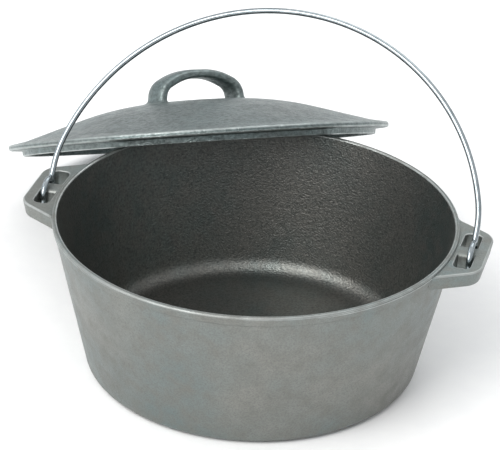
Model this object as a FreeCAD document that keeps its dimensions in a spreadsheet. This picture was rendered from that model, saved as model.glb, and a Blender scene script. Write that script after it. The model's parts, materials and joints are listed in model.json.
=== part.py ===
import FreeCAD, Part
import os
import re

import Sketcher

# Cast iron dutch oven: a drafted round pot with two pierced side lugs, a wire bail and a domed lift-off lid.
#
# Frame: millimetres, +Z up, origin at the centre of the pot's underside. The bail pivots about a line
# parallel to X through the bars of the two lugs. The lid is set down behind the pot, one edge of its flange
# on the ground and its locating skirt on the pot's rim, and the bail leans back over it.

DOC = FreeCAD.newDocument("DutchOven")

# Driving dimensions: alias, value, what it is. Lengths in mm, angles in degrees.
DIMENSIONS = [
    ("rim_radius", 130.0, "outer radius of the pot's rim"),
    ("pot_height", 103.0, "underside of the base to the top of the rim"),
    ("wall_draft", 12.4, "slope of the pot wall from the vertical"),
    ("rim_wall", 3.8, "thickness of the wall at the rim"),
    ("base_wall", 4.5, "thickness of the pot's base"),
    ("band_height", 6.5, "height of the raised band below the rim"),
    ("band_step", 0.6, "how far the band stands out from the wall"),
    ("base_round", 7.0, "outer radius between base and wall"),
    ("cavity_round", 13.0, "inner radius between base and wall"),
    ("rim_round", 1.2, "radius of the rim's edges"),
    ("lug_reach", 19.6, "lug's outer edge beyond the rim radius"),
    ("lug_root", 16.0, "start of the lug's stock inside the rim radius, before it is cut to the wall"),
    ("lug_tip", 49.2, "width of the lug at its outer edge, before rounding"),
    ("lug_flare", 30.0, "slope of the lug's sides from its length"),
    ("lug_drop", 1.5, "top of the lug below the rim"),
    ("lug_thickness", 11.0, "depth of the lug"),
    ("lug_corner", 14.0, "radius of the lug's corners in plan"),
    ("lug_edge", 1.5, "radius of the lug's outer edges"),
    ("window_gap", 1.3, "inner face of the windows beyond the rim radius"),
    ("window_width", 10.7, "windows, measured along the lug's length"),
    ("window_margin", 1.6, "outer end of each window inside the corner of the lug's outer edge"),
    ("window_round", 4.0, "radius of the windows' outer corners"),
    ("bar_width", 12.0, "bar left between the two windows"),
    ("bar_round", 2.5, "radius of the bar's edges"),
    ("wire_size", 3.8, "diameter of the bail's wire"),
    ("crown_spare", 2.3, "radius of the arch's crown beyond half the span between the legs"),
    ("bail_shoulder", 74.1, "radius of the arch between crown and leg"),
    ("leg_length", 4.7, "straight stretch of each leg between shoulder and eye"),
    ("eye_inset", 2.7, "middle of the wire inside the windows' outer face"),
    ("eye_play", 0.7, "room between the bar's corners and the eye"),
    ("eye_bend", 5.0, "radius of the bend between leg and eye"),
    ("eye_opening", 20.0, "angle from the leg to the wire's cut end"),
    ("bail_lean", 40.0, "lean of the bail from the vertical, away from the front"),
    ("lid_overhang", 4.0, "edge of the lid beyond the rim radius"),
    ("lid_wall", 4.0, "thickness of the lid"),
    ("flange_edge", 3.9, "thickness of the flange at its edge"),
    ("flange_width", 12.0, "width of the flange"),
    ("flange_rise", 2.2, "rise of the flange's top towards the dome"),
    ("flange_round", 1.5, "radius of the flange's edges"),
    ("skirt_play", 1.3, "room between the skirt and the inside of the rim"),
    ("skirt_depth", 4.3, "skirt below the flange"),
    ("skirt_wall", 3.0, "thickness of the skirt's foot"),
    ("skirt_taper", 0.7, "how far the skirt draws in towards its foot"),
    ("dome_slope", 17.0, "slope of the dome's side"),
    ("dome_rise", 21.4, "flat crown of the dome above the flange"),
    ("dome_round", 220.0, "radius between the dome's side and crown, where the crown is wide enough"),
    ("lid_contact", 95.75, "up the leaning lid's slope, from its middle to where it crosses the rim's level"),
    ("lid_bearing", 26.6, "direction in which the lid leans, from +Y towards -X"),
    ("seat_gap", 0.3, "room between the leaning lid and the rim"),
    ("grip_length", 76.0, "lid handle, over its feet"),
    ("grip_width", 18.6, "width of the handle's strap"),
    ("grip_height", 22.0, "top of the handle above the dome's crown"),
    ("grip_thickness", 6.6, "thickness of the strap at its top"),
    ("leg_thickness", 7.6, "thickness of the strap in its legs"),
    ("grip_splay", 2.4, "how far each leg spreads from shoulder to foot"),
    ("leg_sink", 9.5, "handle's legs below the dome's crown, before they are cut to the dome"),
    ("shoulder_drop", 9.5, "handle's shoulders below its top"),
    ("shoulder_run", 20.2, "length over which the handle's shoulders slope"),
    ("shoulder_inset", 5.0, "inner corner of a shoulder below its outer corner"),
    ("shoulder_round", 15.5, "outer radius between leg and shoulder"),
    ("palm_round", 50.0, "outer radius between shoulder and top"),
    ("grip_round", 2.6, "radius of the strap's edges"),
    ("yaw_of_grip", 25.4, "turn of the handle about the lid's axis"),
]
ALIASES = [name for name, value, note in DIMENSIONS]
SIZES = DOC.addObject("Spreadsheet::Sheet", "Sizes")
for row, (name, value, note) in enumerate(DIMENSIONS, start=1):
    SIZES.set("A%d" % row, name)
    SIZES.set("B%d" % row, str(value))
    SIZES.setAlias("B%d" % row, name)
    SIZES.set("C%d" % row, note)
DOC.recompute()


def bind(text):
    """A formula over the aliases, written out as an expression over the sheet."""
    return re.sub(r"[a-z_]+", lambda m: "Sizes." + m.group() if m.group() in ALIASES else m.group(), text)


def number(text):
    """The value that a formula has with the present dimensions."""
    found = SIZES.evalExpression(bind(text))
    return float(getattr(found, "Value", found))


# ---- places that several pieces share ------------------------------------------------------------
BAND_FOOT = "(pot_height - band_height)"
WALL_TOP = "(rim_radius - band_step - band_height * tan(wall_draft))"
BASE_RADIUS = "(rim_radius - band_step - pot_height * tan(wall_draft))"
RIM_INSIDE = "(rim_radius - rim_wall)"
LUG_TOP = "(pot_height - lug_drop)"
PIVOT_HEIGHT = "(pot_height - lug_drop - lug_thickness / 2)"
WINDOW_INSIDE = "(rim_radius + window_gap)"
WINDOW_END = "(lug_tip / 2 - window_margin)"
EYE_SPAN = "(rim_radius + window_gap + window_width - eye_inset)"
BAR_REACH = "(sqrt((bar_width / 2 - bar_round) ^ 2 + (lug_thickness / 2 - bar_round) ^ 2) + bar_round)"
EYE_RADIUS = "(%s + eye_play + wire_size / 2)" % BAR_REACH
LID_RADIUS = "(rim_radius + lid_overhang)"
DOME_FOOT = "(rim_radius + lid_overhang - flange_width)"
CROWN_RADIUS = "(%s - dome_rise / tan(dome_slope))" % DOME_FOOT
SKIRT_TOP_RADIUS = "(rim_radius - rim_wall - skirt_play)"
SKIRT_FOOT_RADIUS = "(%s - skirt_taper)" % SKIRT_TOP_RADIUS


# ---- helpers -------------------------------------------------------------------------------------
def new_body(label):
    body = DOC.addObject("PartDesign::Body", "".join(word.capitalize() for word in label.split("_")))
    body.Label = label
    return body


def plane(body, role):
    return next(item for item in body.Origin.OriginFeatures if item.Role == role)


def new_sketch(body, name, role, offset=None):
    """A sketch on one of the body's origin planes, moved along that plane's normal by a formula."""
    sketch = body.newObject("Sketcher::SketchObject", name)
    sketch.AttachmentSupport = [(plane(body, role), "")]
    sketch.MapMode = "FlatFace"
    if offset:
        sketch.setExpression("AttachmentOffset.Base.z", bind(offset))
    return sketch


def hold_point(sketch, edge, end, across, up):
    """Fixes one end of an edge at the place that two formulas give."""
    for kind, formula in (("DistanceX", across), ("DistanceY", up)):
        axis = -2 if kind == "DistanceX" else -1
        if formula == "0":
            sketch.addConstraint(Sketcher.Constraint("PointOnObject", edge, end, axis))
            continue
        row = sketch.addConstraint(Sketcher.Constraint(kind, -1, 1, edge, end, number(formula)))
        sketch.setExpression("Constraints[%d]" % row, bind(formula))


def outline(sketch, points):
    """A closed outline of straight edges through points given as pairs of formulas."""
    places = [FreeCAD.Vector(number(across), number(up), 0) for across, up in points]
    count = len(points)
    for i in range(count):
        sketch.addGeometry(Part.LineSegment(places[i], places[(i + 1) % count]), False)
    for i in range(count):
        sketch.addConstraint(Sketcher.Constraint("Coincident", i, 2, (i + 1) % count, 1))
    for i, (across, up) in enumerate(points):
        hold_point(sketch, i, 1, across, up)


def run(sketch, points, curves):
    """An open run of edges. Each curve is None for a straight edge, or (radius, centre, far side) of an arc.

    The centre is where the arc is drawn, and its ends and radius hold it. An arc on the far side goes the long
    way round its centre.
    """
    places = [FreeCAD.Vector(number(across), number(up), 0) for across, up in points]
    for i, curve in enumerate(curves):
        first, last = places[i], places[i + 1]
        if curve is None:
            sketch.addGeometry(Part.LineSegment(first, last), False)
            continue
        radius, (across, up), far_side = curve
        centre = FreeCAD.Vector(number(across), number(up), 0)
        toward = (first + last) * 0.5 - centre
        toward.normalize()
        middle = centre + toward * (number(radius) * (-1 if far_side else 1))
        arc = Part.Arc(first, middle, last)
        sketch.addGeometry(arc, False)
    starts = []
    for i, curve in enumerate(curves):
        ends = (1, 2)
        if curve is not None:
            start = sketch.getPoint(i, 1)
            ends = (1, 2) if (start - places[i]).Length < (start - places[i + 1]).Length else (2, 1)
        starts.append(ends)
    for i, (begin, finish) in enumerate(starts):
        hold_point(sketch, i, begin, *points[i])
        if i + 1 == len(starts):
            hold_point(sketch, i, finish, *points[i + 1])
        else:
            sketch.addConstraint(Sketcher.Constraint("Coincident", i, finish, i + 1, starts[i + 1][0]))
    for i, curve in enumerate(curves):
        if curve is not None:
            row = sketch.addConstraint(Sketcher.Constraint("Radius", i, number(curve[0])))
            sketch.setExpression("Constraints[%d]" % row, bind(curve[0]))


def circle(sketch, across, up, radius):
    sketch.addGeometry(Part.Circle(FreeCAD.Vector(number(across), number(up), 0), FreeCAD.Vector(0, 0, 1),
                                   number(radius)), False)
    hold_point(sketch, 0, 3, across, up)
    row = sketch.addConstraint(Sketcher.Constraint("Radius", 0, number(radius)))
    sketch.setExpression("Constraints[%d]" % row, bind(radius))


def revolve(body, name, kind, points):
    """A full turn about Z of an outline on the XZ plane, added or cut away."""
    sketch = new_sketch(body, name + "Outline", "XZ_Plane")
    outline(sketch, points)
    feature = body.newObject(kind, name)
    feature.Profile = sketch
    feature.ReferenceAxis = (sketch, ["V_Axis"])
    feature.Angle = 360
    DOC.recompute()
    return feature


def round_edges(body, name, radius, wanted):
    """Rounds those edges of the body's present solid that a test picks out."""
    DOC.recompute()
    base = body.Tip
    names = ["Edge%d" % (i + 1) for i, edge in enumerate(base.Shape.Edges) if wanted(edge)]
    if not names:
        raise RuntimeError("no edges to round for " + name)
    fillet = body.newObject("PartDesign::Fillet", name)
    fillet.Base = (base, names)
    fillet.setExpression("Radius", bind(radius))
    DOC.recompute()
    return fillet


def near(a, b):
    return abs(a - b) < 1e-3


def ring_at(radius, height):
    """A test for full circles about Z of one radius at one height."""
    def test(edge):
        box = edge.BoundBox
        return near(box.ZMin, box.ZMax) and near(box.ZMin, height) and near(box.XMax, radius) \
            and near(box.XMin, -radius)
    return test


# ---- pot -----------------------------------------------------------------------------------------
POT_OUTSIDE = [("0", "0"), (BASE_RADIUS, "0"), (WALL_TOP, BAND_FOOT),
               ("(%s + band_step)" % WALL_TOP, BAND_FOOT), ("rim_radius", "pot_height")]


def make_pot():
    """The pot: a drafted wall of even thickness on a flat base, with a shallow band round the rim."""
    body = new_body("pot_body")
    cavity_foot = "(%s - (pot_height - base_wall) * tan(wall_draft))" % RIM_INSIDE
    revolve(body, "PotWall", "PartDesign::Revolution",
            POT_OUTSIDE + [(RIM_INSIDE, "pot_height"), (cavity_foot, "base_wall"), ("0", "base_wall")])
    round_edges(body, "BaseRound", "base_round", ring_at(number(BASE_RADIUS), 0))
    round_edges(body, "CavityRound", "cavity_round", ring_at(number(cavity_foot), number("base_wall")))
    rim = number("pot_height")
    outer, inner = ring_at(number("rim_radius"), rim), ring_at(number(RIM_INSIDE), rim)
    round_edges(body, "RimRound", "rim_round", lambda edge: outer(edge) or inner(edge))
    return body


# ---- lugs ----------------------------------------------------------------------------------------
def make_lug(label, turn):
    """A lug on the +X side, pierced by two windows with a bar between them, and turned about Z into place."""
    body = new_body(label)
    reach = "(rim_radius + lug_reach)"
    root = "(rim_radius - lug_root)"
    half_root = "(lug_tip / 2 + (%s - %s) * tan(lug_flare))" % (reach, root)
    plan = new_sketch(body, "LugPlan", "XY_Plane", LUG_TOP)
    outline(plan, [(root, "(-%s)" % half_root), (reach, "(-lug_tip / 2)"), (reach, "(lug_tip / 2)"),
                   (root, half_root)])
    pad = body.newObject("PartDesign::Pad", "LugPad")
    pad.Profile = plan
    pad.Reversed = True
    pad.setExpression("Length", bind("lug_thickness"))
    tip = number(reach)
    round_edges(body, "LugCorners", "lug_corner",
                lambda edge: near(edge.BoundBox.XMin, tip) and near(edge.BoundBox.YMin, edge.BoundBox.YMax))
    rim = number(root)
    round_edges(body, "LugEdges", "lug_edge",
                lambda edge: near(edge.BoundBox.ZMin, edge.BoundBox.ZMax) and edge.BoundBox.XMax > rim + 1)

    windows = new_sketch(body, "WindowPlan", "XY_Plane", LUG_TOP)
    outside = "(%s + window_width)" % WINDOW_INSIDE
    spans = (("(bar_width / 2)", WINDOW_END), ("(-%s)" % WINDOW_END, "(-bar_width / 2)"))
    for row, (low, high) in enumerate(spans):
        corners = [(WINDOW_INSIDE, low), (outside, low), (outside, high), (WINDOW_INSIDE, high)]
        places = [FreeCAD.Vector(number(a), number(b), 0) for a, b in corners]
        first = 4 * row
        for i in range(4):
            windows.addGeometry(Part.LineSegment(places[i], places[(i + 1) % 4]), False)
        for i in range(4):
            windows.addConstraint(Sketcher.Constraint("Coincident", first + i, 2, first + (i + 1) % 4, 1))
        for i, (across, up) in enumerate(corners):
            hold_point(windows, first + i, 1, across, up)
    pocket = body.newObject("PartDesign::Pocket", "LugWindows")
    pocket.Profile = windows
    pocket.Type = "Length"
    pocket.setExpression("Length", bind("lug_thickness * 1.5"))
    end, bar = number(WINDOW_END), number("bar_width / 2")
    round_edges(body, "WindowCorners", "window_round",
                lambda edge: edge.BoundBox.ZLength > 1 and near(abs(edge.BoundBox.YMin), end)
                and near(edge.BoundBox.YMin, edge.BoundBox.YMax))
    inside, out = number(WINDOW_INSIDE), number(outside)
    round_edges(body, "BarEdges", "bar_round",
                lambda edge: near(edge.BoundBox.YMin, edge.BoundBox.YMax)
                and near(abs(edge.BoundBox.YMin), bar) and near(edge.BoundBox.XMin, inside)
                and near(edge.BoundBox.XMax, out))
    revolve(body, "WallSeat", "PartDesign::Groove", POT_OUTSIDE + [("0", "pot_height")])
    about_z = FreeCAD.Rotation(FreeCAD.Vector(0, 0, 1), turn)
    body.Placement = FreeCAD.Placement(FreeCAD.Vector(0, 0, 0), about_z)
    return body


# ---- bail ----------------------------------------------------------------------------------------
def make_bail():
    """The bail, drawn upright with its pivot line on X, then leaned back about that line.

    Crown and shoulders are tangent arcs, the legs are straight, and each leg ends in an open eye that lies
    in a plane square to the pivot line.
    """
    body = new_body("bail_wire")
    crown = "(%s + crown_spare)" % EYE_SPAN
    centre = "(%s - bail_shoulder)" % EYE_SPAN
    half_angle = "asin(%s / (%s - bail_shoulder))" % (centre, crown)
    neck = "sqrt(%s ^ 2 + 2 * %s * eye_bend)" % (EYE_RADIUS, EYE_RADIUS)
    leg_foot = "(%s + leg_length / 2)" % neck
    leg_top = "(%s + leg_length)" % neck
    crown_middle = "(%s - (%s - bail_shoulder) * cos(%s))" % (leg_top, crown, half_angle)
    meet_across = "(%s * sin(%s))" % (crown, half_angle)
    meet_up = "(%s + %s * cos(%s))" % (crown_middle, crown, half_angle)
    arch = new_sketch(body, "ArchPath", "XZ_Plane")
    run(arch,
        [(EYE_SPAN, leg_foot), (EYE_SPAN, leg_top), (meet_across, meet_up), ("(-%s)" % meet_across, meet_up),
         ("(-%s)" % EYE_SPAN, leg_top), ("(-%s)" % EYE_SPAN, leg_foot)],
        [None, ("bail_shoulder", (centre, leg_top), False), (crown, ("0", crown_middle), False),
         ("bail_shoulder", ("(-%s)" % centre, leg_top), False), None])
    section = new_sketch(body, "WireSection", "XY_Plane", leg_foot)
    circle(section, EYE_SPAN, "0", "wire_size / 2")
    pipe = body.newObject("PartDesign::AdditivePipe", "Arch")
    pipe.Profile = section
    pipe.Spine = (arch, [])
    DOC.recompute()
    for name, side in (("Right", ""), ("Left", "-")):
        eye = new_sketch(body, name + "EyePath", "YZ_Plane", "(%s%s)" % (side, EYE_SPAN))
        bend_angle = "asin(eye_bend / (%s + eye_bend))" % EYE_RADIUS
        touch = ("(%s * sin(%s))" % (EYE_RADIUS, bend_angle), "(%s * cos(%s))" % (EYE_RADIUS, bend_angle))
        cut = ("(-%s * sin(eye_opening))" % EYE_RADIUS, "(%s * cos(eye_opening))" % EYE_RADIUS)
        run(eye, [("0", leg_foot), ("0", "(%s)" % neck), touch, cut],
            [None, ("eye_bend", ("eye_bend", "(%s)" % neck), False), (EYE_RADIUS, ("0", "0"), True)])
        ring = new_sketch(body, name + "EyeSection", "XY_Plane", leg_foot)
        circle(ring, "(%s%s)" % (side, EYE_SPAN), "0", "wire_size / 2")
        pipe = body.newObject("PartDesign::AdditivePipe", name + "Eye")
        pipe.Profile = ring
        pipe.Spine = (eye, [])
        DOC.recompute()
    leaned = "placement(vector(0; 0; %s); rotation(0; 0; -bail_lean))" % PIVOT_HEIGHT
    body.setExpression("Placement", bind(leaned))
    return body


# ---- lid -----------------------------------------------------------------------------------------
# The lid is drawn level, with the underside of its flange at zero height and its axis on Z.
FLANGE_FOOT = "(flange_edge + flange_rise)"
CROWN_HEIGHT = "(%s + dome_rise)" % FLANGE_FOOT
DOME_FILLET = "min(dome_round; 0.95 * %s / tan(dome_slope / 2))" % CROWN_RADIUS
DOME_OUTSIDE = [(DOME_FOOT, FLANGE_FOOT), (CROWN_RADIUS, CROWN_HEIGHT), ("0", CROWN_HEIGHT)]

# Where the leaning lid comes to rest: the lower edge of its flange on the ground, and the inner edge of its
# skirt's foot just clear of the rim where it crosses the rim's level. The slope is the one that brings the
# skirt's foot up to that level at the contact's distance from the lid's middle.
SKIRT_INSIDE = "(%s - skirt_wall)" % SKIRT_FOOT_RADIUS
LEAN_RUN = "(%s - flange_round + lid_contact)" % LID_RADIUS
LEAN_DEPTH = "(flange_round + skirt_depth)"
LID_TILT = ("(asin((pot_height - flange_round) / sqrt(%s ^ 2 + %s ^ 2)) + atan(%s / %s))"
            % (LEAN_RUN, LEAN_DEPTH, LEAN_DEPTH, LEAN_RUN))
LID_HEIGHT = ("((%s - flange_round) * sin(%s) - flange_round * cos(%s) + flange_round)"
              % (LID_RADIUS, LID_TILT, LID_TILT))
LID_DISTANCE = ("(sqrt((rim_radius + seat_gap) ^ 2 - %s ^ 2 + lid_contact ^ 2) + lid_contact * cos(%s)"
                " + skirt_depth * sin(%s))" % (SKIRT_INSIDE, LID_TILT, LID_TILT))
LID_PLACE = ("placement(vector(-%s * sin(lid_bearing); %s * cos(lid_bearing); %s);"
             " rotation(lid_bearing; 0; -%s))" % (LID_DISTANCE, LID_DISTANCE, LID_HEIGHT, LID_TILT))
GRIP_PLACE = LID_PLACE + " * placement(vector(0; 0; 0); rotation(yaw_of_grip; 0; 0))"


def make_lid():
    """The lid's shell: a hollow dome with a flange that rests on the rim and a skirt that drops inside it."""
    body = new_body("lid_cover")
    wall_up = "(lid_wall / cos(dome_slope))"
    inner_edge = "(%s - skirt_taper)" % SKIRT_INSIDE
    inner_foot = "(%s - %s + (%s - %s) * tan(dome_slope))" % (FLANGE_FOOT, wall_up, DOME_FOOT, inner_edge)
    inner_crown = ("(%s - (%s - lid_wall - %s) / tan(dome_slope))" % (inner_edge, CROWN_HEIGHT, inner_foot))
    revolve(body, "LidShell", "PartDesign::Revolution",
            [("0", "(%s - lid_wall)" % CROWN_HEIGHT), (inner_crown, "(%s - lid_wall)" % CROWN_HEIGHT),
             (inner_edge, inner_foot), (SKIRT_INSIDE, "(-skirt_depth)"),
             (SKIRT_FOOT_RADIUS, "(-skirt_depth)"), (SKIRT_TOP_RADIUS, "0"), (LID_RADIUS, "0"),
             (LID_RADIUS, "flange_edge")] + DOME_OUTSIDE)
    round_edges(body, "DomeRound", DOME_FILLET, ring_at(number(CROWN_RADIUS), number(CROWN_HEIGHT)))
    round_edges(body, "HollowRound", DOME_FILLET + " - lid_wall",
                ring_at(number(inner_crown), number(CROWN_HEIGHT + " - lid_wall")))
    lower, upper = ring_at(number(LID_RADIUS), 0), ring_at(number(LID_RADIUS), number("flange_edge"))
    round_edges(body, "FlangeRound", "flange_round", lambda edge: lower(edge) or upper(edge))
    body.setExpression("Placement", bind(LID_PLACE))
    return body


def make_grip():
    """The lid's handle: a rounded strap bent into an arch, its two feet cut to the dome under them."""
    strap = new_body("grip_strap")
    top = "(%s + grip_height)" % CROWN_HEIGHT
    foot = "(%s - leg_sink)" % CROWN_HEIGHT
    corner = "(grip_length / 2 - grip_splay)"
    outer = [("(grip_length / 2 + grip_splay * leg_sink / grip_height)", foot),
             (corner, "(%s - shoulder_drop)" % top), ("(%s - shoulder_run)" % corner, top)]
    inner = [("(%s - leg_thickness)" % outer[0][0], foot),
             ("(%s - leg_thickness)" % corner, "(%s - shoulder_drop - shoulder_inset)" % top),
             ("(%s - shoulder_run - leg_thickness / 2)" % corner, "(%s - grip_thickness)" % top)]

    def mirrored(points):
        return [("(-%s)" % across, up) for across, up in reversed(points)]

    side = new_sketch(strap, "GripSide", "XZ_Plane")
    outline(side, outer + mirrored(outer) + [("(-%s)" % across, up) for across, up in inner]
            + list(reversed(inner)))
    pad = strap.newObject("PartDesign::Pad", "GripPad")
    pad.Profile = side
    pad.Midplane = True
    pad.setExpression("Length", bind("grip_width"))

    def across_at(points, row):
        x, z = number(points[row][0]), number(points[row][1])
        return lambda edge: edge.BoundBox.YLength > 1 and near(abs(edge.BoundBox.XMin), x) \
            and near(edge.BoundBox.ZMin, z) and near(edge.BoundBox.XMin, edge.BoundBox.XMax)

    round_edges(strap, "PalmOuter", "palm_round", across_at(outer, 2))
    round_edges(strap, "PalmInner", "palm_round - grip_thickness", across_at(inner, 2))
    round_edges(strap, "ShoulderOuter", "shoulder_round", across_at(outer, 1))
    round_edges(strap, "ShoulderInner", "shoulder_round - leg_thickness", across_at(inner, 1))
    half, low = number("grip_width / 2"), number(foot)
    round_edges(strap, "StrapEdges", "grip_round",
                lambda edge: near(edge.BoundBox.YMin, edge.BoundBox.YMax)
                and near(abs(edge.BoundBox.YMin), half) and edge.BoundBox.ZMax > low + 1)
    strap.setExpression("Placement", bind(GRIP_PLACE))

    plug = new_body("dome_plug")
    revolve(plug, "PlugSolid", "PartDesign::Revolution", [("0", "0"), (DOME_FOOT, "0")] + DOME_OUTSIDE)
    round_edges(plug, "PlugRound", DOME_FILLET, ring_at(number(CROWN_RADIUS), number(CROWN_HEIGHT)))
    plug.setExpression("Placement", bind(LID_PLACE))

    handle = DOC.addObject("Part::Cut", "LidHandle")
    handle.Label = "lid_handle"
    handle.Base = strap
    handle.Tool = plug
    return handle


PIECES = [make_pot(), make_lug("right_lug", 0), make_lug("left_lug", 180)]
PIECES += [make_bail(), make_lid(), make_grip()]
DOC.recompute()

for item in DOC.Objects:
    if "Invalid" in item.State or "Error" in item.State:
        raise RuntimeError("%s failed: %s" % (item.Label, item.State))
for piece in PIECES:
    if piece.Shape.isNull() or not piece.Shape.isValid() or not piece.Shape.Solids:
        raise RuntimeError(piece.Label + " has no valid solid")

os.makedirs("parts", exist_ok=True)
for piece in PIECES:
    piece.Shape.exportStep("parts/%s.step" % piece.Label)
    print("%-10s solids %d, volume %.0f mm3" % (piece.Label, len(piece.Shape.Solids), piece.Shape.Volume))
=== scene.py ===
import json
import math

import bmesh
import bpy
import numpy as np
from mathutils import Matrix, Vector, noise


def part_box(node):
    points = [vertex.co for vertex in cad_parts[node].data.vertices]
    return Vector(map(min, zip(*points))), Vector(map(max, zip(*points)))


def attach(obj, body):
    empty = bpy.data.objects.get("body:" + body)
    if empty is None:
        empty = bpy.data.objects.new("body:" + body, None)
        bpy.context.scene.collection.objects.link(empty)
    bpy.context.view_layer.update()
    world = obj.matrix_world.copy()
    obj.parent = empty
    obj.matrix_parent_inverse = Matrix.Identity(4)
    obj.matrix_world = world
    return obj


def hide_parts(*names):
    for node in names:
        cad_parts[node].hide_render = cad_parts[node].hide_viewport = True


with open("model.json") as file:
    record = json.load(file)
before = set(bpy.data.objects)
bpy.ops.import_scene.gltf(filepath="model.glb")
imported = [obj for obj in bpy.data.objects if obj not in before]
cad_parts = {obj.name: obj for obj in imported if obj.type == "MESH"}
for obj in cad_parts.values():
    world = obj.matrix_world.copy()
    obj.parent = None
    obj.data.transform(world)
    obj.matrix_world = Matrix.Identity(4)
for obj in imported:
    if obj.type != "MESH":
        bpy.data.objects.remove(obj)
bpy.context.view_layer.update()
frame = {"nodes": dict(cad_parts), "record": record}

# A cast iron dutch oven on a pale floor. Shapes are worked out in millimetres, as the castings are drawn,
# and turned into metres when a mesh is made. The pot stands on the origin, its lugs along X. The lid is
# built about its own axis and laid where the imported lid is. The bail is bent upright and leaned back.
MM = 0.001

# ---- sizes, in mm and degrees --------------------------------------------------------------------
POT_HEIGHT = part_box("pot_body")[1].z / MM
LUG_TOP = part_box("right_lug")[1].z / MM
LUG_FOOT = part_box("right_lug")[0].z / MM
LUG_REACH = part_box("right_lug")[1].x / MM
RIM_RADIUS = 130.0
WALL_DRAFT = math.radians(12.4)
RIM_WALL = 3.8
BASE_WALL = 4.5
BAND_HEIGHT = 6.5
BAND_STEP = 0.6
BAND_FOOT_BELOW = 0.35
BAND_FOOT_ABOVE = 0.25
BAND_FOOT_ROUND = 0.3
BASE_ROUND = 7.0
CAVITY_ROUND = 13.0
RIM_ROUND = 1.2

# How deep and how wide the skin sinks: the parting line at the band's foot, the corner level with the lugs'
# tops, and the lip above that corner, which is set in. Corner and lip fade towards the front, between angles.
PARTING_DEPTH = 0.50
PARTING_WIDTH = 0.45
LIP_DEPTH = 0.40
LIP_WIDTH = 0.35
LIP_STEP = 0.45
LIP_AT_FRONT = 0.2
LIP_FADED = math.radians(20)
LIP_FULL = math.radians(60)

LUG_TIP_HALF = 24.6
LUG_FLARE = math.radians(30)
LUG_CORNER = 14.0
LUG_TOP_ROUND = 1.3
LUG_FOOT_ROUND = 2.8
LUG_DRAFT = 1.3
LUG_FILLET = 7.0
LUG_ROOT = 0.45 * RIM_WALL
WINDOW_INSIDE = 131.3
WINDOW_OUTSIDE = 142.0
WINDOW_END = 23.0
WINDOW_CORNER = 4.0
WINDOW_BAR_CORNER = 1.2
WINDOW_ROUND = 0.9
BAR_HALF = 6.0
BAR_ROUND = 2.5

WIRE_RADIUS = 1.9
BAIL_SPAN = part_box("bail_wire")[1].x / MM - WIRE_RADIUS
CROWN_SPARE = 2.3
BAIL_SHOULDER = 74.1
LEG_LENGTH = 4.7
EYE_RADIUS = 9.71
EYE_BEND = 5.0
EYE_OPENING = math.radians(20)
BAIL_LEAN = math.radians(40)

LID_RADIUS = 134.0
FLANGE_EDGE = 3.9
FLANGE_WIDTH = 12.0
FLANGE_RISE = 2.2
FLANGE_ROUND = 1.5
LID_WALL = 4.0
SKIRT_TOP = 124.9
SKIRT_FOOT = 124.2
SKIRT_WALL = 3.0
SKIRT_DEPTH = 4.3
SKIRT_TAPER = 0.7
SKIRT_ROOT_ROUND = 0.8
SKIRT_EDGE_ROUND = 0.9
HOLLOW_EDGE_ROUND = 2.5
DOME_SLOPE = math.radians(17)
DOME_RISE = 21.4
DOME_ROUND = 220.0
DOME_FOOT_ROUND = 26.0

GRIP_HALF = 38.0
GRIP_WIDTH = 18.6
GRIP_HEIGHT = 22.0
GRIP_THICKNESS = 6.6
LEG_THICKNESS = 7.6
GRIP_SPLAY = 2.4
LEG_SLOPE = 0.156
SHOULDER_DROP = 9.5
SHOULDER_RUN = 20.2
SHOULDER_INSET = 5.0
SHOULDER_ROUND = 15.5
PALM_ROUND = 50.0
GRIP_FILLET = 2.8
GRIP_SQUARENESS = 3.0

# The handle's feet below the dome's crown, and the dome's surface round them below the crown.
GRIP_SINK = 2.6
GRIP_FOOT_DROP = 0.9

# Steps round the castings and round the wire, and the angles above which an edge is drawn hard.
ROUND_STEPS = 320
WIRE_STEPS = 24
CASTING_HARD_EDGE = 42
WIRE_HARD_EDGE = 50

# How tightly an edge bulges, in 1/mm, where the lightened edge colour, partly rubbed wear and partly painted
# highlight, begins to show and where it is full.
WEAR_AND_HIGHLIGHT_FROM = 0.25
WEAR_AND_HIGHLIGHT_FULL = 0.95


# ---- outlines ------------------------------------------------------------------------------------
def rounded(points, radii, steps=6, closed=False):
    """A 2-D outline with its corners rounded. A radius of 0 keeps the corner."""
    made = []
    for i, (corner, radius) in enumerate(zip(points, radii)):
        corner = Vector(corner)
        if radius == 0 or (not closed and i in (0, len(points) - 1)):
            made.append(corner)
            continue
        back = (Vector(points[i - 1]) - corner).normalized()
        ahead = (Vector(points[(i + 1) % len(points)]) - corner).normalized()
        half = back.angle(ahead) / 2
        centre = corner + (back + ahead).normalized() * (radius / math.sin(half))
        start = corner + back * (radius / math.tan(half)) - centre
        turn = math.copysign(math.pi - 2 * half, back.y * ahead.x - back.x * ahead.y)
        made += [centre + Matrix.Rotation(turn * k / steps, 2) @ start for k in range(steps + 1)]
    return made


def divided(points, longest):
    """The same outline with every stretch cut into pieces no longer than the longest."""
    made = [points[0]]
    for first, last in zip(points, points[1:]):
        count = max(1, math.ceil((last - first).length / longest))
        made += [first.lerp(last, k / count) for k in range(1, count + 1)]
    return made


def smooth_step(low, high, value):
    share = min(max((value - low) / (high - low), 0.0), 1.0)
    return share * share * (3 - 2 * share)


# ---- meshes --------------------------------------------------------------------------------------
def new_object(name, bm):
    """An object from a bmesh in millimetres."""
    bmesh.ops.recalc_face_normals(bm, faces=bm.faces)
    bmesh.ops.scale(bm, vec=(MM, MM, MM), verts=bm.verts)
    mesh = bpy.data.meshes.new(name)
    bm.to_mesh(mesh)
    bm.free()
    made = bpy.data.objects.new(name, mesh)
    bpy.context.scene.collection.objects.link(made)
    return made


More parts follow.
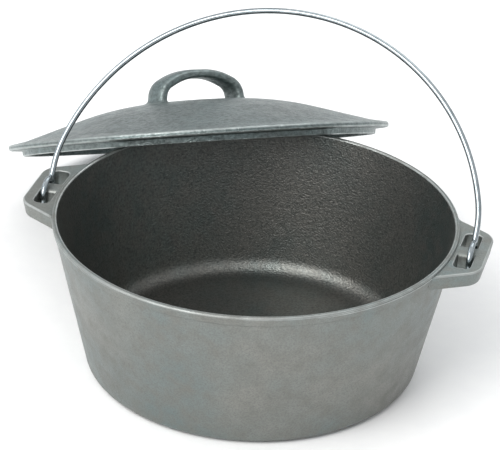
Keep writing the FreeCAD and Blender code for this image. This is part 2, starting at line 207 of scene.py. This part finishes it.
def lathe(name, profile, segments, reshape=lambda radius, height, angle: radius):
    """A full turn of a profile that starts and ends on the Z axis."""
    bm = bmesh.new()
    rings = []
    for radius, height in profile[1:-1]:
        angles = (2 * math.pi * k / segments for k in range(segments))
        rings.append([bm.verts.new((reshape(radius, height, a) * math.cos(a),
                                    reshape(radius, height, a) * math.sin(a), height)) for a in angles])
    for low, high in zip(rings, rings[1:]):
        for k in range(segments):
            bm.faces.new((low[k - 1], low[k], high[k], high[k - 1]))
    for ring, (radius, height) in ((rings[0], profile[0]), (rings[-1], profile[-1])):
        pole = bm.verts.new((0, 0, height))
        for k in range(segments):
            bm.faces.new((pole, ring[k], ring[k - 1]))
    return new_object(name, bm)


def loft(name, loops):
    """A closed solid through loops of 3-D points, all with the same number of points, with flat ends."""
    bm = bmesh.new()
    rings = [[bm.verts.new(point) for point in loop] for loop in loops]
    for low, high in zip(rings, rings[1:]):
        for k in range(len(low)):
            bm.faces.new((low[k - 1], low[k], high[k], high[k - 1]))
    bm.faces.new(rings[0])
    bm.faces.new(rings[-1])
    return new_object(name, bm)


def combine(target, tool, operation):
    """Joins a tool to a target, or cuts it away, and removes the tool."""
    change = target.modifiers.new("combine", "BOOLEAN")
    change.operation = operation
    change.solver = "MANIFOLD"
    change.object = tool
    made = bpy.data.meshes.new_from_object(target.evaluated_get(bpy.context.evaluated_depsgraph_get()))
    target.modifiers.clear()
    made.materials.clear()
    target.data = made
    bpy.data.objects.remove(tool)
    return target


def weather(piece, depth, size, seed):
    """Sinks a casting's skin unevenly by up to a depth, in patches of a size, both in mm."""
    shift = Vector((seed, -seed, 2 * seed))
    vertices = piece.data.vertices
    skin = [(vertex.co.copy(), vertex.normal.copy()) for vertex in vertices]
    moved = [place - normal * (depth * MM * (0.5 + 0.5 * noise.noise(place / (size * MM) + shift)))
             for place, normal in skin]
    vertices.foreach_set("co", [value for place in moved for value in place])
    piece.data.update()


def mark_wear_and_highlight(piece, above=None):
    """Stores how strongly each point's skin bulges, from 0 on a flat to 1 on a tight outer edge, as the share
    of the lightened edge colour: rubbed wear and a painted highlight.

    With a height in mm, what lies below it gets neither the rubbed wear nor the painted highlight.
    """
    bm = bmesh.new()
    bm.from_mesh(piece.data)
    wear_and_highlight = []
    closest = 0.1 * MM
    for vertex in bm.verts:
        bulge = 0.0
        for edge in vertex.link_edges:
            if len(edge.link_faces) == 2:
                first, last = (face.calc_center_median() for face in edge.link_faces)
                apart = max((last - first).length, closest)
                bulge = max(bulge, edge.calc_face_angle_signed(0) * MM / apart)
        handled = 1.0 if above is None else smooth_step(above, above + 1.5, vertex.co.z / MM)
        wear_and_highlight.append(handled * smooth_step(WEAR_AND_HIGHLIGHT_FROM, WEAR_AND_HIGHLIGHT_FULL, bulge))
    bm.free()
    piece.data.attributes.new("wear_and_highlight", "FLOAT", "POINT").data.foreach_set("value", wear_and_highlight)


def shade(piece, sharp_angle):
    """Smooth shading with true flats, and hard only where faces meet at more than an angle."""
    piece.data.shade_smooth()
    piece.data.set_sharp_from_angle(angle=math.radians(sharp_angle))
    flats = piece.modifiers.new("flats", "WEIGHTED_NORMAL")
    flats.keep_sharp = True


# ---- materials -----------------------------------------------------------------------------------
def add(tree, kind, settings=(), **inputs):
    """A node with its settings, and its inputs given as values or as other nodes' outputs.

    An input is named with _ for each space, or by the letter i and its number.
    """
    node = tree.nodes.new(kind)
    for name, value in dict(settings).items():
        setattr(node, name, value)
    for name, value in inputs.items():
        numbered = name[0] == "i" and name[1:].isdigit()
        socket = node.inputs[int(name[1:]) if numbered else name.replace("_", " ")]
        if isinstance(value, bpy.types.NodeSocket):
            tree.links.new(value, socket)
        else:
            socket.default_value = value
    return node


def pattern(tree, place, scale, detail=4.0, rough=0.55, low=0.35, high=0.65):
    """Noise stretched so that most of it lies between 0 and 1."""
    cloud = add(tree, "ShaderNodeTexNoise", Vector=place, Scale=scale, Detail=detail, Roughness=rough)
    spread = add(tree, "ShaderNodeMapRange", Value=cloud.outputs["Fac"], From_Min=low, From_Max=high)
    return spread.outputs["Result"]


def blend(tree, share, first, second):
    """A mix of two colours, each a colour or an output."""
    node = add(tree, "ShaderNodeMix", {"data_type": "RGBA"}, i0=share, i6=first, i7=second)
    return node.outputs[2]


def iron(name, cool, warm, pit, worn_and_highlight, grain_depth, peel_depth, peel_scale, speckle_scale, rough_low,
         rough_high):
    """Bare cast iron: cool and warm patches, a fine pebbled skin with darker pits, and bulging edges lightened,
    partly as rubbed wear and partly as a painted highlight.

    Depths are in mm and scales are in cells per metre.
    """
    material = bpy.data.materials.new(name)
    material.use_nodes = True
    tree = material.node_tree
    shader = tree.nodes["Principled BSDF"]
    place = add(tree, "ShaderNodeTexCoord").outputs["Object"]

    patches = pattern(tree, place, 12, detail=3, low=0.35, high=0.65)
    clouds = pattern(tree, place, 90, detail=6, rough=0.6, low=0.4, high=0.7)
    speckle = pattern(tree, place, speckle_scale, detail=4, rough=0.65, low=0.42, high=0.78)
    colour = blend(tree, patches, cool, warm)
    dulled = tuple(0.86 * value for value in warm[:3]) + (1,)
    darker = blend(tree, clouds, colour, dulled)
    pitted = blend(tree, speckle, darker, pit)
    # Bulging edges are lightened by the stored share: partly rubbed wear, partly a painted highlight of the
    # lamps on the rounded edges.
    edge = add(tree, "ShaderNodeAttribute", {"attribute_name": "wear_and_highlight"}).outputs["Fac"]
    patchy = add(tree, "ShaderNodeMapRange", Value=clouds, To_Min=1.0, To_Max=0.45).outputs["Result"]
    rub_and_highlight = add(tree, "ShaderNodeMath", {"operation": "MULTIPLY"}, i0=edge, i1=patchy).outputs["Value"]
    final = blend(tree, rub_and_highlight, pitted, worn_and_highlight)
    tree.links.new(final, shader.inputs["Base Color"])

    shine = add(tree, "ShaderNodeMapRange", Value=clouds, To_Min=rough_low, To_Max=rough_high)
    tree.links.new(shine.outputs["Result"], shader.inputs["Roughness"])
    shader.inputs["Metallic"].default_value = 0.85

    grain = add(tree, "ShaderNodeTexNoise", Vector=place, Scale=850, Detail=3, Roughness=0.6)
    peel = add(tree, "ShaderNodeTexNoise", Vector=place, Scale=peel_scale, Detail=4, Roughness=0.6,
               Distortion=0.6)
    fine = add(tree, "ShaderNodeBump", Height=grain.outputs["Fac"], Distance=grain_depth * MM, Strength=1.0)
    broad = add(tree, "ShaderNodeBump", Height=peel.outputs["Fac"], Distance=peel_depth * MM, Strength=1.0,
                Normal=fine.outputs["Normal"])
    tree.links.new(broad.outputs["Normal"], shader.inputs["Normal"])
    return material


def plated_steel():
    """Bright plated wire: fine drawing marks along it and slightly dulled patches."""
    material = bpy.data.materials.new("plated_steel")
    material.use_nodes = True
    tree = material.node_tree
    shader = tree.nodes["Principled BSDF"]
    place = add(tree, "ShaderNodeTexCoord").outputs["Object"]
    dull = pattern(tree, place, 160, detail=5, low=0.42, high=0.7)
    colour = blend(tree, dull, (0.36, 0.40, 0.42, 1), (0.24, 0.28, 0.30, 1))
    tree.links.new(colour, shader.inputs["Base Color"])
    shine = add(tree, "ShaderNodeMapRange", Value=dull, To_Min=0.10, To_Max=0.24)
    tree.links.new(shine.outputs["Result"], shader.inputs["Roughness"])
    shader.inputs["Metallic"].default_value = 1.0
    marks = add(tree, "ShaderNodeTexNoise", Vector=place, Scale=700, Detail=2, Roughness=0.5)
    bump = add(tree, "ShaderNodeBump", Height=marks.outputs["Fac"], Distance=0.02 * MM, Strength=0.6)
    tree.links.new(bump.outputs["Normal"], shader.inputs["Normal"])
    return material


def floor_white():
    """Pale matt floor with a barely visible grain."""
    material = bpy.data.materials.new("floor_white")
    material.use_nodes = True
    tree = material.node_tree
    shader = tree.nodes["Principled BSDF"]
    place = add(tree, "ShaderNodeTexCoord").outputs["Object"]
    grain = pattern(tree, place, 60, detail=3)
    colour = blend(tree, grain, (0.96, 0.96, 0.96, 1), (0.94, 0.94, 0.945, 1))
    tree.links.new(colour, shader.inputs["Base Color"])
    shader.inputs["Roughness"].default_value = 0.9
    shader.inputs["Specular IOR Level"].default_value = 0.1
    return material


# The worn colours lighten bulging edges: partly rubbed wear, partly a painted highlight.
POT_IRON = iron("pot_iron", cool=(0.178, 0.220, 0.218, 1), warm=(0.250, 0.252, 0.232, 1),
                pit=(0.150, 0.158, 0.152, 1), worn_and_highlight=(0.46, 0.48, 0.47, 1), grain_depth=0.22, peel_depth=0.12,
                peel_scale=330, speckle_scale=950, rough_low=0.40, rough_high=0.52)
# A darker copy of the iron for the pot's inside: painted shade of the deep interior.
SHADED_INSIDE_IRON = iron("pot_inside_iron_painted_shade", cool=(0.135, 0.168, 0.164, 1), warm=(0.215, 0.210, 0.195, 1),
                   pit=(0.070, 0.080, 0.077, 1), worn_and_highlight=(0.40, 0.42, 0.41, 1), grain_depth=0.36,
                   peel_depth=0.14, peel_scale=330, speckle_scale=620, rough_low=0.31, rough_high=0.40)
LID_IRON = iron("lid_iron", cool=(0.185, 0.240, 0.240, 1), warm=(0.222, 0.250, 0.244, 1),
                pit=(0.078, 0.102, 0.102, 1), worn_and_highlight=(0.48, 0.52, 0.51, 1), grain_depth=0.22, peel_depth=0.95,
                peel_scale=260, speckle_scale=360, rough_low=0.34, rough_high=0.44)
STEEL = plated_steel()


# ---- pot -----------------------------------------------------------------------------------------
def wall_at(height):
    """Outer radius of the drafted wall, without the band."""
    return RIM_RADIUS - BAND_STEP - (POT_HEIGHT - height) * math.tan(WALL_DRAFT)


def pot_shape(radius, height, angle):
    """Sinks the parting line at the band's foot and the corner under the lip, more in some places."""
    inside = radius < wall_at(height) - 1.0
    if inside or height < POT_HEIGHT - BAND_HEIGHT - 2:
        return radius
    from_front = abs(math.remainder(angle + math.pi / 2, 2 * math.pi))
    lip = LIP_AT_FRONT + (1 - LIP_AT_FRONT) * smooth_step(LIP_FADED, LIP_FULL, from_front)
    uneven = 0.75 + 0.5 * noise.noise(Vector((6 * math.cos(angle), 6 * math.sin(angle), height / 40)))
    parting = math.exp(-((height - POT_HEIGHT + BAND_HEIGHT + 0.2) / PARTING_WIDTH) ** 2)
    corner = math.exp(-((height - LUG_TOP + 0.1) / LIP_WIDTH) ** 2)
    step = smooth_step(LUG_TOP - 0.3, LUG_TOP + 0.3, height)
    return radius - uneven * (PARTING_DEPTH * parting + lip * (LIP_DEPTH * corner + LIP_STEP * step))


def pot_profile():
    band_foot = POT_HEIGHT - BAND_HEIGHT
    inside = RIM_RADIUS - RIM_WALL
    cavity_foot = inside - (POT_HEIGHT - BASE_WALL) * math.tan(WALL_DRAFT)
    corners = [(0, 0), (wall_at(0), 0), (wall_at(band_foot), band_foot - BAND_FOOT_BELOW),
               (wall_at(band_foot) + BAND_STEP, band_foot + BAND_FOOT_ABOVE), (RIM_RADIUS, POT_HEIGHT),
               (inside, POT_HEIGHT), (cavity_foot, BASE_WALL), (0, BASE_WALL)]
    radii = (0, BASE_ROUND, BAND_FOOT_ROUND, BAND_FOOT_ROUND, RIM_ROUND, RIM_ROUND, CAVITY_ROUND, 0)
    outline = rounded(corners, radii, steps=8)
    made = []
    for first, last in zip(outline, outline[1:]):
        near_rim = min(first.y, last.y) > band_foot - 3 and max(first.x, last.x) > inside + 1
        made += divided([first, last], 0.22 if near_rim else 3.0)[:-1]
    return made + [outline[-1]]


def lug_outline(inset, wall_radius):
    """The lug's plan, drawn in by an inset, with hollow fillets into a wall of a radius."""
    sine, cosine = math.sin(LUG_FLARE), math.cos(LUG_FLARE)
    side = LUG_REACH * sine + LUG_TIP_HALF * cosine
    centre_x = LUG_REACH - LUG_CORNER
    centre_y = (side - LUG_CORNER - centre_x * sine) / cosine
    half = []
    for k in range(11):
        angle = (math.pi / 2 - LUG_FLARE) * k / 10
        half.append(Vector((centre_x + (LUG_CORNER - inset) * math.cos(angle),
                            centre_y + (LUG_CORNER - inset) * math.sin(angle))))
    reach = side - inset + LUG_FILLET
    along = math.sqrt((wall_radius + LUG_FILLET) ** 2 - reach ** 2)
    centre = Vector((reach * sine + along * cosine, reach * cosine - along * sine))
    begin = Vector((-sine, -cosine))
    sweep = begin.angle(-centre.normalized())
    half += [centre + Matrix.Rotation(-sweep * k / 9, 2) @ (begin * LUG_FILLET) for k in range(10)]
    root = math.atan2(half[-1].y, half[-1].x)
    inner = wall_radius - LUG_ROOT
    turns = [root * (1 - k / 8) for k in range(9)]
    ends = [Vector((inner * math.cos(angle), inner * math.sin(angle))) for angle in turns]
    upper = half + ends
    lower = [Vector((point.x, -point.y)) for point in reversed(upper[:-1])]
    return upper + lower


def lug_solid(name):
    loops = []
    steps = 6
    for k in range(steps + 1):
        angle = math.pi / 2 * k / steps
        loops.append((LUG_TOP - LUG_TOP_ROUND * (1 - math.cos(angle)),
                      LUG_TOP_ROUND * (1 - math.sin(angle))))
    for k in range(steps + 1):
        angle = math.pi / 2 * k / steps
        loops.append((LUG_FOOT + LUG_FOOT_ROUND * (1 - math.sin(angle)),
                      LUG_DRAFT + LUG_FOOT_ROUND * (1 - math.cos(angle))))
    stack = []
    for height, inset in loops:
        band = BAND_STEP if height > POT_HEIGHT - BAND_HEIGHT else 0
        plan = lug_outline(inset, wall_at(height) + band - 0.1)
        stack.append([(point.x, point.y, height) for point in plan])
    return loft(name, stack)


def edge_gap(radius, depth):
    """How far a rounded edge has opened at a depth below the face."""
    if depth >= radius:
        return 0.0
    return radius - math.sqrt(radius * radius - (radius - max(depth, 0)) ** 2)


def window_solid(name, side):
    """The space of one window, flared where its edges are rounded. A sign gives its side of the bar."""
    depths = (-3, 0, 0.12, 0.3, 0.6, 0.9, 1.4, 1.9, 2.5)
    heights = [LUG_TOP - depth for depth in depths] + [LUG_FOOT + depth for depth in reversed(depths)]
    stack = []
    for height in heights:
        depth = min(LUG_TOP - height, height - LUG_FOOT)
        rim, bar = edge_gap(WINDOW_ROUND, depth), edge_gap(BAR_ROUND, depth)
        corners = [(WINDOW_INSIDE - rim, BAR_HALF - bar), (WINDOW_OUTSIDE + rim, BAR_HALF - bar),
                   (WINDOW_OUTSIDE + rim, WINDOW_END + rim), (WINDOW_INSIDE - rim, WINDOW_END + rim)]
        radii = (WINDOW_BAR_CORNER, WINDOW_BAR_CORNER, WINDOW_CORNER + rim, WINDOW_CORNER + rim)
        plan = rounded(corners, radii, closed=True)
        stack.append([(point.x, side * point.y, height) for point in plan])
    return loft(name, stack)


def make_pot():
    """Pot and lugs as the one casting they are."""
    pot = lathe("pot_casting", pot_profile(), ROUND_STEPS, pot_shape)
    for name, turn in (("right", 0), ("left", math.pi)):
        lug = lug_solid(name + "_lug_metal")
        for side in (1, -1):
            combine(lug, window_solid(name + "_window_space", side), "DIFFERENCE")
        lug.data.transform(Matrix.Rotation(turn, 4, "Z"))
        combine(pot, lug, "UNION")
    weather(pot, depth=0.12, size=28, seed=3.1)
    weather(pot, depth=0.05, size=7, seed=8.6)
    # Edges above the band's foot get the lightened edge colour: rubbed wear and painted highlight.
    mark_wear_and_highlight(pot, above=POT_HEIGHT - BAND_HEIGHT + 1.0)
    shade(pot, CASTING_HARD_EDGE)
    pot.data.materials.append(POT_IRON)
    pot.data.materials.append(SHADED_INSIDE_IRON)
    # Faces inside the pot take the darker copy of the iron: painted shade of the interior.
    for face in pot.data.polygons:
        middle = face.center / MM
        edge_of_inside = wall_at(middle.z) + BAND_STEP - RIM_WALL + 0.5
        inside = math.hypot(middle.x, middle.y) < edge_of_inside and middle.z > BASE_WALL / 2
        face.material_index = 1 if inside else 0
    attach(pot, "pot")
    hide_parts("pot_body", "right_lug", "left_lug")
    return pot


# ---- lid -----------------------------------------------------------------------------------------
def moments(node):
    """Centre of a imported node's surface, its directions from the least spread to the most, and its points."""
    mesh = frame["nodes"][node].data
    mesh.calc_loop_triangles()
    points = np.array([vertex.co for vertex in mesh.vertices])
    corners = points[np.array([triangle.vertices for triangle in mesh.loop_triangles])]
    sides = corners[:, 1:] - corners[:, :1]
    areas = np.linalg.norm(np.cross(sides[:, 0], sides[:, 1]), axis=1)
    middles = corners.mean(axis=1)
    centre = (middles * areas[:, None]).sum(axis=0) / areas.sum()
    spread = np.einsum("n,ni,nj->ij", areas, middles - centre, middles - centre)
    values, directions = np.linalg.eigh(spread)
    return centre, directions.T, points


def lid_place():
    """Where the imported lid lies: origin in its flange's underside, Z out of its crown, X along its handle."""
    centre, directions, points = moments("lid_cover")
    axis = Vector(directions[0])
    if axis.z < 0:
        axis = -axis
    foot = min(Vector(point).dot(axis) for point in points)
    middle = Vector(centre)
    origin = middle + axis * (foot + SKIRT_DEPTH * MM - middle.dot(axis))
    along = Vector(moments("lid_handle")[1][2])
    along = (along - axis * along.dot(axis)).normalized()
    if along.x < 0:
        along = -along
    turn = Matrix((along, axis.cross(along), axis)).transposed().to_4x4()
    return Matrix.Translation(origin) @ turn


def lid_profile():
    foot_height = FLANGE_EDGE + FLANGE_RISE
    crown = foot_height + DOME_RISE
    dome_foot = LID_RADIUS - FLANGE_WIDTH
    slope = math.tan(DOME_SLOPE)
    crown_radius = dome_foot - DOME_RISE / slope
    skirt_inside = SKIRT_FOOT - SKIRT_WALL
    inner_edge = skirt_inside - SKIRT_TAPER
    inner_foot = foot_height - LID_WALL / math.cos(DOME_SLOPE) + (dome_foot - inner_edge) * slope
    inner_crown = inner_edge - (crown - LID_WALL - inner_foot) / slope
    corners = [(0, crown - LID_WALL), (inner_crown, crown - LID_WALL), (inner_edge, inner_foot),
               (skirt_inside, -SKIRT_DEPTH), (SKIRT_FOOT, -SKIRT_DEPTH), (SKIRT_TOP, 0), (LID_RADIUS, 0),
               (LID_RADIUS, FLANGE_EDGE), (dome_foot, foot_height), (crown_radius, crown), (0, crown)]
    radii = (0, DOME_ROUND - LID_WALL, HOLLOW_EDGE_ROUND, SKIRT_EDGE_ROUND, SKIRT_EDGE_ROUND,
             SKIRT_ROOT_ROUND, FLANGE_ROUND, FLANGE_ROUND, DOME_FOOT_ROUND, DOME_ROUND, 0)
    return divided(rounded(corners, radii, steps=10), 2.5)


def grip_solid():
    """The handle's strap, bent into an arch over the crown, with hollow fillets where it meets the dome."""
    crown = FLANGE_EDGE + FLANGE_RISE + DOME_RISE
    top = crown + GRIP_HEIGHT
    corner = GRIP_HALF - GRIP_SPLAY
    foot = crown - GRIP_SINK
    foot_across = corner + (top - SHOULDER_DROP - foot) * LEG_SLOPE
    outer = [(foot_across, foot), (corner, top - SHOULDER_DROP), (corner - SHOULDER_RUN, top), (0, top)]
    inner = [(foot_across - LEG_THICKNESS, foot),
             (corner - LEG_THICKNESS, top - SHOULDER_DROP - SHOULDER_INSET),
             (corner - SHOULDER_RUN - LEG_THICKNESS / 2, top - GRIP_THICKNESS), (0, top - GRIP_THICKNESS)]
    outer = rounded(outer, (0, SHOULDER_ROUND, PALM_ROUND, 0), steps=12)
    inner = rounded(inner, (0, SHOULDER_ROUND - LEG_THICKNESS, PALM_ROUND - GRIP_THICKNESS, 0), steps=12)
    buried = GRIP_SINK - GRIP_FOOT_DROP
    leg = outer[1].y - foot
    stations = [(outer[0].lerp(outer[1], rise / leg), inner[0].lerp(inner[1], rise / leg), rise - buried)
                for rise in [0] + [buried + above for above in (0, 0.2, 0.5, 1.0, 1.5, 2.0, 3.3)]]
    stations += [(out, in_, GRIP_FILLET) for out, in_ in zip(outer[1:], inner[1:])]
    stations += [(Vector((-out.x, out.y)), Vector((-in_.x, in_.y)), rise) for out, in_, rise in
                 reversed(stations[:-1])]
    loops = []
    for out, in_, rise in stations:
        flare = edge_gap(GRIP_FILLET, max(rise, 0))
        middle = (out + in_) / 2
        across = (out - in_) / 2
        across *= 1 + flare / across.length
        loop = []
        for k in range(40):
            angle = 2 * math.pi * k / 40
            square = [math.copysign(abs(value) ** (2 / GRIP_SQUARENESS), value)
                      for value in (math.cos(angle), math.sin(angle))]
            loop.append((middle.x + across.x * square[0], (GRIP_WIDTH / 2 + flare) * square[1],
                         middle.y + across.y * square[0]))
        loops.append(loop)
    return loft("grip_metal", loops)


def make_lid():
    """Lid and handle as the one casting they are."""
    lid = lathe("lid_casting", lid_profile(), ROUND_STEPS)
    combine(lid, grip_solid(), "UNION")
    weather(lid, depth=0.14, size=24, seed=5.2)
    weather(lid, depth=0.05, size=6, seed=1.4)
    lid.data.transform(lid_place())
    # The lid's bulging edges get the lightened edge colour: rubbed wear and painted highlight.
    mark_wear_and_highlight(lid)
    shade(lid, CASTING_HARD_EDGE)
    lid.data.materials.append(LID_IRON)
    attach(lid, "lid")
    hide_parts("lid_cover", "lid_handle")
    return lid


# ---- bail ----------------------------------------------------------------------------------------
def bail_half():
    """Half of the wire's middle line, upright about the pivot, from an eye's cut end to the arch's top."""
    crown = BAIL_SPAN + CROWN_SPARE
    neck = math.sqrt(EYE_RADIUS ** 2 + 2 * EYE_RADIUS * EYE_BEND)
    touch = math.asin(EYE_BEND / (EYE_RADIUS + EYE_BEND))
    leg_top = neck + LEG_LENGTH
    centre = BAIL_SPAN - BAIL_SHOULDER
    rise = math.acos(centre / (crown - BAIL_SHOULDER))
    crown_middle = leg_top - (crown - BAIL_SHOULDER) * math.sin(rise)
    points = []
    begin = 2 * math.pi - EYE_OPENING
    for k in range(45):
        angle = begin + (touch - begin) * k / 44
        points.append(Vector((BAIL_SPAN, EYE_RADIUS * math.sin(angle),
                              EYE_RADIUS * math.cos(angle))))
    for k in range(1, 9):
        angle = (math.pi / 2 - touch) * (1 - k / 8)
        points.append(Vector((BAIL_SPAN, EYE_BEND - EYE_BEND * math.cos(angle),
                              neck - EYE_BEND * math.sin(angle))))
    points.append(Vector((BAIL_SPAN, 0, (neck + leg_top) / 2)))
    for k in range(11):
        angle = rise * k / 10
        points.append(Vector((centre + BAIL_SHOULDER * math.cos(angle), 0,
                              leg_top + BAIL_SHOULDER * math.sin(angle))))
    for k in range(1, 61):
        angle = rise + (math.pi / 2 - rise) * k / 60
        points.append(Vector((crown * math.cos(angle), 0, crown_middle + crown * math.sin(angle))))
    return points


def tube(name, path, radius, sides):
    """A round wire along a path, with its cut ends slightly rounded."""
    edge = radius * 0.3
    first, last = (path[0] - path[1]).normalized(), (path[-1] - path[-2]).normalized()
    stops = [(path[0] + first * edge, 0.72), (path[0] + first * edge * 0.7, 0.9)] + \
            [(point, 1.0) for point in path] + \
            [(path[-1] + last * edge * 0.7, 0.9), (path[-1] + last * edge, 0.72)]
    places = [place for place, share in stops]
    loops = []
    heading = (places[1] - places[0]).normalized()
    outward = heading.orthogonal().normalized()
    for i, (place, share) in enumerate(stops):
        ahead = (places[min(i + 1, len(places) - 1)] - places[max(i - 1, 0)]).normalized()
        outward = (heading.rotation_difference(ahead) @ outward).normalized()
        heading = ahead
        sideways = heading.cross(outward)
        loops.append([place + (outward * math.cos(a) + sideways * math.sin(a)) * (radius * share)
                      for a in (2 * math.pi * k / sides for k in range(sides))])
    return loft(name, loops)


def make_bail():
    half = bail_half()
    path = half + [Vector((-point.x, point.y, point.z)) for point in reversed(half[:-1])]
    pivot = frame["record"]["behaviour"]["joints"][0]["pos_m"]
    wire = tube("bail_bent_wire", path, WIRE_RADIUS, WIRE_STEPS)
    wire.data.transform(Matrix.Translation(pivot) @ Matrix.Rotation(-BAIL_LEAN, 4, "X"))
    shade(wire, WIRE_HARD_EDGE)
    wire.data.materials.append(STEEL)
    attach(wire, "bail")
    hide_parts("bail_wire")
    return wire


# ---- floor, light and camera ---------------------------------------------------------------------
def make_floor():
    bm = bmesh.new()
    bmesh.ops.create_grid(bm, x_segments=8, y_segments=8, size=12 / MM)
    floor = new_object("floor", bm)
    floor.data.materials.append(floor_white())


def softbox(name, heading, height, distance, size, power, colour):
    """A square light that faces the pot, placed by its heading from the front, its height and its distance.

    Heading and height are in degrees, lengths in metres and power in watts.
    """
    data = bpy.data.lights.new(name, "AREA")
    data.size = size
    data.energy = power
    data.color = colour
    lamp = bpy.data.objects.new(name, data)
    bpy.context.scene.collection.objects.link(lamp)
    across, up = math.radians(heading), math.radians(height)
    away = Vector((math.sin(across) * math.cos(up), -math.cos(across) * math.cos(up), math.sin(up)))
    lamp.location = away * distance + Vector((0, 0.05, 0.05))
    lamp.rotation_euler = away.to_track_quat("Z", "Y").to_euler()


def make_light():
    world = bpy.data.worlds.new("studio")
    bpy.context.scene.world = world
    world.use_nodes = True
    tree = world.node_tree
    way = add(tree, "ShaderNodeTexCoord").outputs["Generated"]
    height = add(tree, "ShaderNodeSeparateXYZ", Vector=way).outputs["Z"]
    ramp = add(tree, "ShaderNodeValToRGB", Fac=height)
    stops = ramp.color_ramp.elements
    stops[0].position, stops[0].color = 0.0, (0.42, 0.43, 0.44, 1)
    stops[1].position, stops[1].color = 1.0, (1.0, 1.0, 1.0, 1)
    middle = stops.new(0.3)
    middle.color = (0.62, 0.64, 0.66, 1)
    background = tree.nodes["Background"]
    tree.links.new(ramp.outputs["Color"], background.inputs["Color"])
    background.inputs["Strength"].default_value = 1.04
    softbox("key", heading=-28, height=41, distance=2.2, size=1.5, power=37,
            colour=(1.0, 0.99, 0.97))
    softbox("left_fill", heading=-95, height=35, distance=2.2, size=1.2, power=4,
            colour=(0.93, 0.97, 1.0))
    softbox("back_fill", heading=170, height=50, distance=2.4, size=1.6, power=11,
            colour=(0.96, 0.99, 1.0))


def make_camera():
    """A long lens to the right of the front, looking down at the pot from 31 degrees and 1.7 m away."""
    heading, height, distance = math.radians(14), math.radians(30.99), 1.6986
    look_down, turn, roll = 0.490888, 0.002553, 0.0359902
    data = bpy.data.cameras.new("camera")
    data.lens = 187.2
    data.sensor_width = 36
    data.clip_start, data.clip_end = 0.05, 60
    camera = bpy.data.objects.new("camera", data)
    bpy.context.scene.collection.objects.link(camera)
    stand = Matrix.Rotation(heading, 4, "Z") @ Matrix.Translation(
        (0, -distance * math.cos(height), distance * math.sin(height)))
    aim = Matrix.Rotation(turn, 4, "Z") @ Matrix.Rotation(math.pi / 2 - look_down, 4, "X")
    camera.matrix_world = stand @ aim @ Matrix.Rotation(roll, 4, "Z")
    bpy.context.scene.camera = camera


make_camera()
make_floor()
make_light()
bpy.context.scene.view_settings.view_transform = "Standard"
make_pot()
make_lid()
make_bail()
